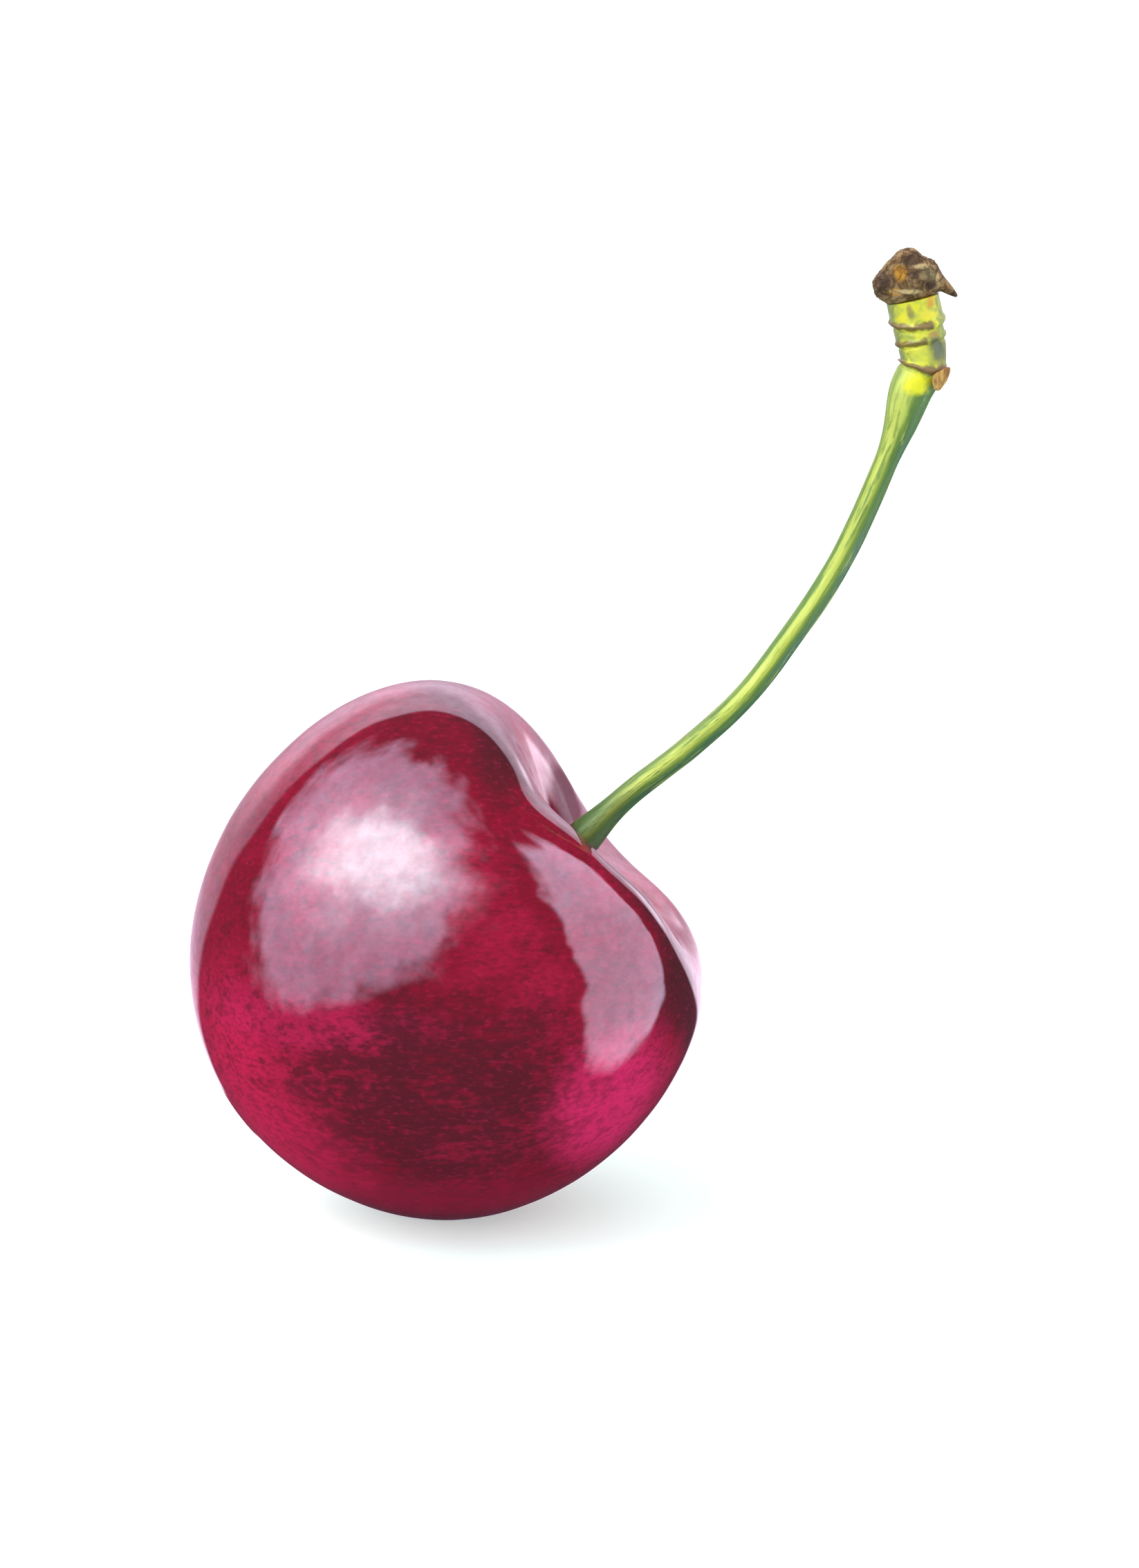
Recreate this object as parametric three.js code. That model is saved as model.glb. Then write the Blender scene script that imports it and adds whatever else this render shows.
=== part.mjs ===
// A sweet cherry with its stalk, standing on the small flat spot at the bottom of the fruit.
//
// Millimetres and radians, +Z up. The origin is the middle of the flat spot. The fruit leans over
// towards +X, so that its stalk rises to the right, and the seam of the fruit faces -Y.

import * as THREE from 'three';
import { mergeVertices } from 'three/addons/utils/BufferGeometryUtils.js';

// ---------------------------------------------------------------------------
// Driving dimensions
// ---------------------------------------------------------------------------

// The fruit in its own frame: +Z from its centre to the stalk's dimple, +X to the shoulder that
// ends up lowest, -Y to the face with the seam.
const FRUIT = {
  halfWidth: 13.51,
  halfDepth: 11.9,
  halfHeight: 14.02,
  triangleRows: 13,
};

// Two shoulders stand beside the dimple. One swells and the other is a little flattened.
const SHOULDER = { risePlus: -0.56, riseMinus: 0.88, angle: 1.104, width: 0.62 };

// The dimple that the stalk grows out of. Its wall is steeper towards the front, where the lip of
// the rim stands higher, and the lip dips a little at the back and beside the swollen shoulder.
// Its width changes between two headings, where -1 is straight back and 1 is straight forward.
const DIMPLE = {
  depth: 5.6,
  backWidth: 0.62,
  frontWidth: 0.334,
  backHeading: -0.4,
  frontHeading: 0.9,
  steepness: 2.8,
  offsetX: -0.094,
  offsetY: -0.192,
};
const RIM_DIP = { depth: 1.45, angle: 0.49, width: 0.325 };
const LIP_DIP = { depth: 0.9, towards: [-4.6, -5.8, 9.7], width: 0.2 };

// The seam is a shallow furrow from the dimple to the tip, where the flower's style left a scar.
const SEAM = { depth: 0.14, width: 0.07 };
const STYLE_SCAR = { depth: 0.35, width: 0.075, ringHeight: 0.08, ringAngle: 0.15, ringWidth: 0.05 };

// How the fruit stands: turned about its own axis, leant over, and pressed flat where it rests.
// Around the flat spot the soft flesh settles by settleDrop, fading out with height.
const STANCE = { turn: -0.08, lean: 0.945, centreX: 0.68, centreY: 0.18 };
const REST_SPOT = { depth: 0.18, settleDrop: 0.3, settleFade: 0.8 };

// The stalk's middle line, from its seat in the dimple to the top of its knuckle.
const STALK_PATH = [
  [6.74, -1.4, 19.5],
  [9.4, -1.6, 22.2],
  [12.6, -1.5, 24.75],
  [15.5, -1.2, 27.4],
  [17.9, -0.8, 30.5],
  [20.1, -0.35, 33.8],
  [21.8, 0.0, 37.3],
  [23.25, 0.2, 40.9],
  [23.85, 0.2, 42.9],
  [24.42, 0.2, 44.3],
  [24.2, 0.2, 46.0],
  [23.9, 0.2, 47.35],
];

// Radii along the stalk. Each swelling grows between two distances from the seat.
const STALK = { radius: 0.61 };
const STALK_MESH = { sides: 12, steps: 72, crowding: 1.6 };
const STALK_FOOT = { extraRadius: 0.38, length: 2.2 };
const KNUCKLE = { extraRadius: 0.53, from: 25.5, to: 30.5 };
const CROWN = { extraRadius: 0.2, from: 31.2, to: 33.7 };

// Raised scars round the knuckle, by their distance below its top.
const SCARS = [
  { below: 3.25, height: 0.14, width: 0.24 },
  { below: 1.9, height: 0.08, width: 0.18 },
  { below: 1.05, height: 0.1, width: 0.2 },
];

// The woody remnant of the spur that sits flat on top of the knuckle. Its beak hangs over on one
// side, beyond droopFrom, and small lumps make its knob, its cratered crown and its shoulder.
const CAP = {
  halfWidth: 1.55,
  halfDepth: 1.5,
  halfHeight: 1.35,
  underside: 0.85,
  droopFrom: 1.5,
  droop: 0.9,
  centre: [23.62, 0.2, 48.42],
  tilt: -0.22,
  triangleRows: 6,
};
const CAP_LUMPS = [
  { towards: [-0.95, -0.3, 0.0], height: 0.32, width: 0.5 },
  { towards: [0.13, -0.3, 0.95], height: 0.6, width: 0.38 },
  { towards: [0.13, -0.3, 0.95], height: -0.3, width: 0.15 },
  { towards: [0.85, 0.1, 0.2], height: 0.2, width: 0.4 },
  { towards: [0.95, -0.05, -0.3], height: 0.75, width: 0.26 },
  { towards: [0.3, 0.9, 0.1], height: 0.15, width: 0.5 },
];

// The dry bract, a thin pointed scale under the lowest scar. Spin turns its face to the front.
const BRACT = {
  halfLength: 0.68,
  halfWidth: 0.6,
  halfThickness: 0.12,
  bend: 0.2,
  taper: 0.45,
  centre: [25.37, -0.82, 43.6],
  tilt: 0.5,
  spin: -0.7,
  triangleRows: 4,
};

// ---------------------------------------------------------------------------
// Materials
// ---------------------------------------------------------------------------

function crimsonSkin() {
  return new THREE.MeshStandardMaterial({ color: 0x8e1330, roughness: 0.22, metalness: 0 });
}

function greenBark() {
  return new THREE.MeshStandardMaterial({ color: 0xa6b83a, roughness: 0.5, metalness: 0 });
}

function brownWood() {
  return new THREE.MeshStandardMaterial({ color: 0x5d4130, roughness: 0.85, metalness: 0 });
}

function dryScale() {
  return new THREE.MeshStandardMaterial({ color: 0xc98f45, roughness: 0.7, metalness: 0 });
}

// ---------------------------------------------------------------------------
// Shared shaping tools
// ---------------------------------------------------------------------------

// One smooth hill of height 1 at distance 0.
function hill(distance, width, steepness = 2) {
  return Math.exp(-Math.pow(Math.abs(distance) / width, steepness));
}

// A closed ball of even triangles whose points are then moved by a function of their direction.
function shapedBall(triangleRows, place) {
  let geometry = new THREE.IcosahedronGeometry(1, triangleRows);
  geometry.deleteAttribute('normal');
  geometry.deleteAttribute('uv');
  geometry = mergeVertices(geometry);
  const points = geometry.getAttribute('position');
  const point = new THREE.Vector3();
  for (let i = 0; i < points.count; i += 1) {
    point.fromBufferAttribute(points, i).normalize();
    place(point);
    points.setXYZ(i, point.x, point.y, point.z);
  }
  geometry.computeVertexNormals();
  return geometry;
}

// A closed round bar that follows a curve, with a radius given by the distance along it. Crowding
// above 1 puts more of its steps near the far end.
function bar(curve, radiusAt, { sides, steps, crowding }) {
  const length = curve.getLength();
  const geometry = new THREE.CylinderGeometry(1, 1, 1, sides, steps);
  const points = geometry.getAttribute('position');
  const across = new THREE.Vector3(0, 1, 0);
  for (let i = 0; i < points.count; i += 1) {
    const fraction = 1 - Math.pow(0.5 - points.getY(i), crowding);
    const middle = curve.getPointAt(fraction);
    const tangent = curve.getTangentAt(fraction);
    const normal = across.clone().cross(tangent).normalize();
    const side = normal.clone().cross(tangent);
    const radius = radiusAt(fraction * length);
    middle.addScaledVector(normal, points.getX(i) * radius);
    middle.addScaledVector(side, points.getZ(i) * radius);
    points.setXYZ(i, middle.x, middle.y, middle.z);
  }
  geometry.computeVertexNormals();
  return geometry;
}

// ---------------------------------------------------------------------------
// The fruit
// ---------------------------------------------------------------------------

const dimpleMiddle = new THREE.Vector3(DIMPLE.offsetX, DIMPLE.offsetY, 1).normalize();
const lipDipMiddle = new THREE.Vector3(...LIP_DIP.towards).normalize();

// How deep the dimple is in a given direction.
function dimpleDepth(direction) {
  const { smoothstep, lerp } = THREE.MathUtils;
  const offset = direction.clone().sub(dimpleMiddle);
  const heading = -offset.y / (offset.length() || 1);
  const frontShare = smoothstep(heading, DIMPLE.backHeading, DIMPLE.frontHeading);
  const width = lerp(DIMPLE.backWidth, DIMPLE.frontWidth, frontShare);
  return DIMPLE.depth * hill(direction.angleTo(dimpleMiddle), width, DIMPLE.steepness);
}

// Distance from the fruit's centre to its skin in a given direction.
function skinRadius(direction) {
  const fromAxis = Math.acos(THREE.MathUtils.clamp(direction.z, -1, 1));
  const reach = Math.hypot(direction.x, direction.y) || 1;
  const side = direction.x / reach;
  const front = -direction.y / reach;

  const body = 1 / Math.hypot(
    direction.x / FRUIT.halfWidth,
    direction.y / FRUIT.halfDepth,
    direction.z / FRUIT.halfHeight,
  );
  const shoulderRise = THREE.MathUtils.lerp(SHOULDER.riseMinus, SHOULDER.risePlus, (1 + side) / 2);
  const shoulder = shoulderRise * side * side * hill(fromAxis - SHOULDER.angle, SHOULDER.width);
  const lipDip = LIP_DIP.depth * hill(direction.angleTo(lipDipMiddle), LIP_DIP.width);
  const atBack = (1 - side * side) * (1 - front) / 2;
  const rimDip = RIM_DIP.depth * atBack * hill(fromAxis - RIM_DIP.angle, RIM_DIP.width);

  // The seam fades out in the dimple and towards the style scar.
  const seamFade = Math.pow(Math.sin(fromAxis), 0.5);
  const seam = front > 0 ? SEAM.depth * seamFade * hill(side, SEAM.width / Math.sin(fromAxis)) : 0;
  const fromTip = Math.PI - fromAxis;
  const scarRing = STYLE_SCAR.ringHeight * hill(fromTip - STYLE_SCAR.ringAngle, STYLE_SCAR.ringWidth);
  const scar = STYLE_SCAR.depth * hill(fromTip, STYLE_SCAR.width) - scarRing;

  return body + shoulder - dimpleDepth(direction) - rimDip - lipDip - seam - scar;
}

function makeFruit() {
  const stance = new THREE.Euler(0, STANCE.lean, STANCE.turn);
  let lowest = 0;
  const geometry = shapedBall(FRUIT.triangleRows, (point) => {
    point.multiplyScalar(skinRadius(point)).applyEuler(stance);
    lowest = Math.min(lowest, point.z);
  });

  // Press the skin flat where the fruit rests.
  const restLevel = lowest + REST_SPOT.depth;
  const points = geometry.getAttribute('position');
  for (let i = 0; i < points.count; i += 1) {
    const height = points.getZ(i) - restLevel;
    const settled = height - REST_SPOT.settleDrop * Math.exp(-height / REST_SPOT.settleFade);
    points.setZ(i, restLevel + Math.max(0, settled));
  }
  geometry.computeVertexNormals();

  const fruit = new THREE.Mesh(geometry, crimsonSkin());
  fruit.name = 'fruit';
  fruit.position.set(STANCE.centreX, STANCE.centreY, -restLevel);
  return fruit;
}

// ---------------------------------------------------------------------------
// The stalk, grown in one piece with its knuckle
// ---------------------------------------------------------------------------

function makeStalk() {
  const path = new THREE.CatmullRomCurve3(STALK_PATH.map((p) => new THREE.Vector3(...p)));
  const length = path.getLength();
  const radiusAt = (distance) => {
    const foot = STALK_FOOT.extraRadius * hill(distance, STALK_FOOT.length);
    const knuckle = KNUCKLE.extraRadius
      * THREE.MathUtils.smoothstep(distance, KNUCKLE.from, KNUCKLE.to);
    const crown = CROWN.extraRadius * THREE.MathUtils.smoothstep(distance, CROWN.from, CROWN.to);
    let scars = 0;
    for (const scar of SCARS) {
      scars += scar.height * hill(length - scar.below - distance, scar.width);
    }
    return STALK.radius + foot + knuckle + crown + scars;
  };
  const stalk = new THREE.Mesh(bar(path, radiusAt, STALK_MESH), greenBark());
  stalk.name = 'stalk';
  return stalk;
}

// ---------------------------------------------------------------------------
// The spur cap and the bract
// ---------------------------------------------------------------------------

function makeSpurCap() {
  const lumps = CAP_LUMPS.map((lump) => ({
    ...lump,
    direction: new THREE.Vector3(...lump.towards).normalize(),
  }));
  const geometry = shapedBall(CAP.triangleRows, (point) => {
    let swell = 1;
    for (const lump of lumps) {
      swell += (lump.height / CAP.halfWidth) * hill(point.angleTo(lump.direction), lump.width);
    }
    point.multiplyScalar(swell);
    point.multiply(new THREE.Vector3(CAP.halfWidth, CAP.halfDepth, CAP.halfHeight));
    point.z = Math.max(point.z, -CAP.underside);
    point.z -= CAP.droop * Math.max(0, point.x - CAP.droopFrom);
  });
  const cap = new THREE.Mesh(geometry, brownWood());
  cap.name = 'spur_cap';
  cap.position.set(...CAP.centre);
  cap.rotation.y = CAP.tilt;
  return cap;
}

function makeBract() {
  const geometry = shapedBall(BRACT.triangleRows, (point) => {
    const taper = 1 - BRACT.taper * Math.max(0, point.z);
    const across = point.y * BRACT.halfWidth * taper;
    const bent = BRACT.bend * (across / BRACT.halfWidth) ** 2;
    point.set(point.x * BRACT.halfThickness - bent, across, point.z * BRACT.halfLength);
  });
  const bract = new THREE.Mesh(geometry, dryScale());
  bract.name = 'bract';
  bract.position.set(...BRACT.centre);
  bract.rotation.set(0, BRACT.tilt, BRACT.spin);
  return bract;
}

const cherry = new THREE.Group();
cherry.add(makeFruit(), makeStalk(), makeSpurCap(), makeBract());

export default cherry;
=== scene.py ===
"""A sweet cherry on its stalk, with the woody remnant of its spur, in a pale soft studio.

Metres, +Z up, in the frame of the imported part. The shapes are worked out in millimetres.
"""

import bisect
import math

import bmesh
import bpy
from mathutils import Matrix, Vector, noise


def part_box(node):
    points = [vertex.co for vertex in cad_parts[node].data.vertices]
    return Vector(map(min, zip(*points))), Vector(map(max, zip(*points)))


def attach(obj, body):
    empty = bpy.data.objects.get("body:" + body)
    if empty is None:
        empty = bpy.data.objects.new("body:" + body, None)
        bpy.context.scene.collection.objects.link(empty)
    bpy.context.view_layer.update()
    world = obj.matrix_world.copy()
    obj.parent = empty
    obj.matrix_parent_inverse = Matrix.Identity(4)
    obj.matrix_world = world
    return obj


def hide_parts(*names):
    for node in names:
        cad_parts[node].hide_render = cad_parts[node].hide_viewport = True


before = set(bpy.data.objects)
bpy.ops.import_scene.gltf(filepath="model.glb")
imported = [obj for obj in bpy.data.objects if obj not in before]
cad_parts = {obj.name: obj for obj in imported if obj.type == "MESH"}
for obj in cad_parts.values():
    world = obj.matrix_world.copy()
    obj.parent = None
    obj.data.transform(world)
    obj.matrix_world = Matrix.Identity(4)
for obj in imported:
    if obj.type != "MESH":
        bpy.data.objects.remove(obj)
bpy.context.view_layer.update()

MM = 0.001


def node_middle(node):
    """The middle of a CAD node's box, in millimetres."""
    lowest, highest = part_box(node)
    return (lowest + highest) / 2 / MM


# ---------------------------------------------------------------------------
# The fruit's form, in its own frame: +Z from its centre to the dimple, -Y to the seam
# ---------------------------------------------------------------------------

# The point that the form is measured from lies a little off the middle of the fruit's box.
FRUIT_CENTRE = node_middle("fruit") + Vector((0.4802, -0.0119, -0.3827))
FRUIT_HALVES = (13.51, 11.9, 14.02)
SHOULDER_RISE_PLUS, SHOULDER_RISE_MINUS = -0.56, 0.88
SHOULDER_ANGLE, SHOULDER_WIDTH = 1.104, 0.62
DIMPLE_MIDDLE = Vector((-0.094, -0.192, 1.0)).normalized()
DIMPLE_DEPTH, DIMPLE_BACK_WIDTH, DIMPLE_FRONT_WIDTH, DIMPLE_STEEPNESS = 5.6, 0.62, 0.334, 2.8
DIMPLE_BACK_HEADING, DIMPLE_FRONT_HEADING = -0.4, 0.9
LIP_DIP_DEPTH, LIP_DIP_WIDTH = 0.9, 0.2
LIP_DIP_MIDDLE = Vector((-4.6, -5.8, 9.7)).normalized()
RIM_DIP_DEPTH, RIM_DIP_ANGLE, RIM_DIP_WIDTH = 1.45, 0.49, 0.325
SEAM_DEPTH, SEAM_WIDTH = 0.04, 0.11
SCAR_DEPTH, SCAR_WIDTH = 0.35, 0.075
SCAR_RING_HEIGHT, SCAR_RING_ANGLE, SCAR_RING_WIDTH = 0.08, 0.15, 0.05
SKIN_WAVES, SKIN_RIPPLES = 0.05, 0.012
FRUIT_TURN, FRUIT_LEAN = -0.08, 0.945
FRUIT_STANCE = Matrix.Rotation(FRUIT_LEAN, 3, 'Y') @ Matrix.Rotation(FRUIT_TURN, 3, 'Z')
REST_DEPTH, SETTLE_DROP, SETTLE_FADE = 0.18, 0.3, 0.8

# ---------------------------------------------------------------------------
# The stalk, spur cap and bract, in the frame of the part
# ---------------------------------------------------------------------------

STALK_PATH = [
    (6.74, -1.4, 19.5), (9.4, -1.6, 22.2), (12.6, -1.5, 24.75), (15.5, -1.2, 27.4),
    (17.9, -0.8, 30.5), (20.1, -0.35, 33.8), (21.8, 0.0, 37.3), (23.25, 0.2, 40.9),
    (23.85, 0.2, 42.9), (24.42, 0.2, 44.3), (24.2, 0.2, 46.0), (23.9, 0.2, 47.35),
]
# Radii and swellings. The knuckle and its crown grow between two distances from the seat.
STALK_RADIUS = 0.61
FOOT_SWELL, FOOT_LENGTH = 0.38, 2.2
KNUCKLE_SWELL, KNUCKLE_FROM, KNUCKLE_TO = 0.53, 25.5, 30.5
CROWN_SWELL, CROWN_FROM, CROWN_TO = 0.2, 31.2, 33.7
BARK_WAVES, BARK_STRIPES, KNUCKLE_LUMPS = 0.022, 0.012, 0.06
KNUCKLE_LUMPS_FROM, KNUCKLE_LUMPS_TO = 29.4, 32.4
# How far the stalk grows on past its middle line, towards the spur cap.
STALK_TOP_FILL = 0.19

# Ring scars: below the top, sag at the front, lean to the right, half thickness, height.
RING_SCARS = ((3.23, 0.08, 0.0, 0.16, 0.15), (1.85, 0.06, -0.04, 0.115, 0.10),
              (0.86, 0.32, 0.14, 0.14, 0.13))

CAP_CENTRE = node_middle("spur_cap") + Vector((-0.3187, -0.0551, -0.2795))
CAP_HALVES = (1.55, 1.5, 1.35)
CAP_TILT = -0.22
CAP_UNDERSIDE, CAP_DROOP_FROM, CAP_DROOP = 0.85, 1.5, 0.9
CAP_WAVES, CAP_RIDGES, CAP_GRAIN = 0.07, 0.035, 0.02

# Lumps and hollows of the cap: which way they face, their height and their width in radians.
CAP_LUMPS = [
    ((-0.95, -0.3, 0.0), 0.32, 0.5),
    ((0.13, -0.3, 0.95), 0.6, 0.38),
    ((0.13, -0.3, 0.95), -0.3, 0.15),
    ((0.85, 0.1, 0.2), 0.2, 0.4),
    ((0.95, -0.05, -0.3), 0.75, 0.26),
    ((0.3, 0.9, 0.1), 0.15, 0.5),
]

BRACT_CENTRE = node_middle("bract") + Vector((0.0889, -0.1239, 0.0051))
BRACT_HALF_LENGTH, BRACT_HALF_WIDTH, BRACT_HALF_THICKNESS = 0.68, 0.6, 0.12
BRACT_BEND, BRACT_TAPER, BRACT_TILT, BRACT_SPIN = 0.2, 0.45, 0.5, -0.7
BRACT_VEIN_DEPTH, BRACT_VEIN_COUNT = 0.02, 26.0


# ---------------------------------------------------------------------------
# Shared shaping tools
# ---------------------------------------------------------------------------

def hill(distance, width, steepness=2.0):
    """One smooth hill of height 1 at distance 0."""
    return math.exp(-abs(distance / width) ** steepness)


def lerp(start, end, amount):
    """A value the given share of the way from start to end."""
    return start + (end - start) * amount


def smoothstep(value, low, high):
    """A smooth rise from 0 at low to 1 at high."""
    t = max(0.0, min(1.0, (value - low) / (high - low)))
    return t * t * (3 - 2 * t)


def finish_piece(name, bm, material, node):
    """Turns a shaped bmesh, in millimetres, into a smooth piece that stands for its CAD node."""
    bmesh.ops.scale(bm, vec=(MM, MM, MM), verts=bm.verts)
    bmesh.ops.recalc_face_normals(bm, faces=bm.faces)
    mesh = bpy.data.meshes.new(name)
    bm.to_mesh(mesh)
    bm.free()
    mesh.shade_smooth()
    mesh.materials.append(material)
    piece = bpy.data.objects.new(name, mesh)
    bpy.context.scene.collection.objects.link(piece)
    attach(piece, "root")
    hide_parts(node)
    return piece


# ---------------------------------------------------------------------------
# Fruit
# ---------------------------------------------------------------------------

def skin_radius(way):
    """Distance from the fruit's centre to its skin, along a direction in the fruit's own frame."""
    from_axis = math.acos(max(-1.0, min(1.0, way.z)))
    reach = math.hypot(way.x, way.y) or 1.0
    side = way.x / reach
    front = -way.y / reach
    body = 1 / math.hypot(*(w / half for w, half in zip(way, FRUIT_HALVES)))
    rise = lerp(SHOULDER_RISE_MINUS, SHOULDER_RISE_PLUS, (1 + side) / 2)
    shoulder = rise * side * side * hill(from_axis - SHOULDER_ANGLE, SHOULDER_WIDTH)
    offset = way - DIMPLE_MIDDLE
    heading = -offset.y / (offset.length or 1.0)
    front_share = smoothstep(heading, DIMPLE_BACK_HEADING, DIMPLE_FRONT_HEADING)
    dimple_width = lerp(DIMPLE_BACK_WIDTH, DIMPLE_FRONT_WIDTH, front_share)
    dimple = DIMPLE_DEPTH * hill(way.angle(DIMPLE_MIDDLE), dimple_width, DIMPLE_STEEPNESS)
    lip_dip = LIP_DIP_DEPTH * hill(way.angle(LIP_DIP_MIDDLE), LIP_DIP_WIDTH)
    at_back = (1 - side * side) * (1 - front) / 2
    rim_dip = RIM_DIP_DEPTH * at_back * hill(from_axis - RIM_DIP_ANGLE, RIM_DIP_WIDTH)
    across = max(math.sin(from_axis), 1e-4)
    seam = SEAM_DEPTH * math.sqrt(across) * hill(side, SEAM_WIDTH / across) if front > 0 else 0.0
    from_tip = math.pi - from_axis
    ring = SCAR_RING_HEIGHT * hill(from_tip - SCAR_RING_ANGLE, SCAR_RING_WIDTH)
    scar = SCAR_DEPTH * hill(from_tip, SCAR_WIDTH) - ring
    uneven = SKIN_WAVES * noise.noise(way * 2.1)
    uneven += SKIN_RIPPLES * noise.noise(way * 7.0 + Vector((4.0, 1.0, 2.0)))
    return body + shoulder - dimple - rim_dip - lip_dip - seam - scar + uneven


def make_fruit(material):
    bm = bmesh.new()
    bmesh.ops.create_icosphere(bm, subdivisions=7, radius=1.0)
    for vert in bm.verts:
        way = vert.co.normalized()
        vert.co = FRUIT_STANCE @ (way * skin_radius(way))
    rest_level = min(vert.co.z for vert in bm.verts) + REST_DEPTH
    for vert in bm.verts:
        height = vert.co.z - rest_level
        vert.co.z = max(0.0, height - SETTLE_DROP * math.exp(-height / SETTLE_FADE))
    bmesh.ops.translate(bm, verts=bm.verts, vec=(FRUIT_CENTRE.x, FRUIT_CENTRE.y, 0.0))
    return finish_piece("cherry_fruit", bm, material, "fruit")


# ---------------------------------------------------------------------------
# Stalk, grown in one piece with its knuckle
# ---------------------------------------------------------------------------

def smooth_route(points, per_span=60):
    """Points of a smooth centripetal curve through the given points, with their distances."""
    stops = [Vector(p) for p in points]
    stops = [2 * stops[0] - stops[1]] + stops + [2 * stops[-1] - stops[-2]]
    route = []
    for a, b, c, d in zip(stops, stops[1:], stops[2:], stops[3:]):
        first, middle, last = (math.sqrt((q - p).length) for p, q in ((a, b), (b, c), (c, d)))
        leave = ((b - a) / first - (c - a) / (first + middle) + (c - b) / middle) * middle
        arrive = ((c - b) / middle - (d - b) / (middle + last) + (d - c) / last) * middle
        for step in range(per_span):
            t = step / per_span
            route.append(b + leave * t + (3 * (c - b) - 2 * leave - arrive) * t ** 2
                         + (2 * (b - c) + leave + arrive) * t ** 3)
    route.append(stops[-2])
    distances = [0.0]
    for here, there in zip(route, route[1:]):
        distances.append(distances[-1] + (there - here).length)
    return route, distances


STALK_ROUTE, STALK_DISTANCES = smooth_route(STALK_PATH)
STALK_LENGTH = STALK_DISTANCES[-1]


def along_stalk(distance):
    """The place and direction of the stalk's middle line at a distance from its seat."""
    index = bisect.bisect_right(STALK_DISTANCES, distance) - 1
    index = max(0, min(index, len(STALK_ROUTE) - 2))
    span = STALK_DISTANCES[index + 1] - STALK_DISTANCES[index]
    share = (distance - STALK_DISTANCES[index]) / span
    place = STALK_ROUTE[index].lerp(STALK_ROUTE[index + 1], share)
    before = STALK_ROUTE[max(0, index - 2)]
    after = STALK_ROUTE[min(len(STALK_ROUTE) - 1, index + 3)]
    return place, (after - before).normalized()


def stalk_surface(distance, angle):
    """Radius of the stalk. Angle 0 is its lower right side and a quarter turn on is its front."""
    front = math.sin(angle)
    from_top = STALK_LENGTH - distance
    radius = STALK_RADIUS + FOOT_SWELL * hill(distance, FOOT_LENGTH)
    radius += KNUCKLE_SWELL * smoothstep(distance, KNUCKLE_FROM, KNUCKLE_TO)
    radius += CROWN_SWELL * smoothstep(distance, CROWN_FROM, CROWN_TO)

    around = Vector((math.cos(angle), math.sin(angle), 0.0))
    radius += BARK_WAVES * noise.noise(around * 1.6 + Vector((0, 0, distance * 0.5)))
    stripe_place = Vector((around.x * 5.5, around.y * 5.5, distance * 0.22))
    radius += BARK_STRIPES * noise.noise(stripe_place)
    knuckle = smoothstep(distance, KNUCKLE_LUMPS_FROM, KNUCKLE_LUMPS_TO)
    radius += knuckle * KNUCKLE_LUMPS * noise.noise(around * 1.8 + Vector((3.0, 7.0, distance * 0.8)))

    # Ring scars: a raised lip with a groove under it, sagging at the front.
    jagged = 0.07 * noise.noise(around * 2.6 + Vector((0, 0, 5.0)))
    for below, sag, lean, half, height in RING_SCARS:
        offset = from_top - below - sag * max(0.0, front) - lean * math.cos(angle) - jagged
        width = 1.1 * half
        radius += height * hill(offset, width)
        radius -= 0.6 * height * hill(offset - 1.9 * width, 0.6 * width)
    return radius


def make_stalk(material):
    rings, sides, closing_rings = 440, 64, 3
    crowding = 1.35    # above 1, the rings stand closer together towards the top
    bm = bmesh.new()
    bmesh.ops.create_uvsphere(bm, u_segments=sides, v_segments=rings, radius=1.0)
    straight = []
    for vert in bm.verts:
        ring = math.acos(max(-1.0, min(1.0, -vert.co.z))) / math.pi * rings
        share = max(0.0, min(1.0, (ring - closing_rings) / (rings - 2 * closing_rings)))
        distance = (STALK_LENGTH + STALK_TOP_FILL) * (1 - (1 - share) ** crowding)
        angle = math.atan2(vert.co.y, vert.co.x)
        closing = min(1.0, ring / closing_rings, (rings - ring) / closing_rings)
        radius = stalk_surface(distance, angle) * closing
        place, tangent = along_stalk(distance)
        right = Vector((0.0, 1.0, 0.0)).cross(tangent).normalized()
        toward = right.cross(tangent)
        vert.co = place + (right * math.cos(angle) + toward * math.sin(angle)) * radius
        straight.append((radius * math.cos(angle), radius * math.sin(angle), distance))
    piece = finish_piece("cherry_stalk", bm, material, "stalk")
    layer = piece.data.attributes.new("straight", 'FLOAT_VECTOR', 'POINT')
    layer.data.foreach_set("vector", [value for point in straight for value in point])
    return piece


# ---------------------------------------------------------------------------
# Spur cap and bract
# ---------------------------------------------------------------------------

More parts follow.
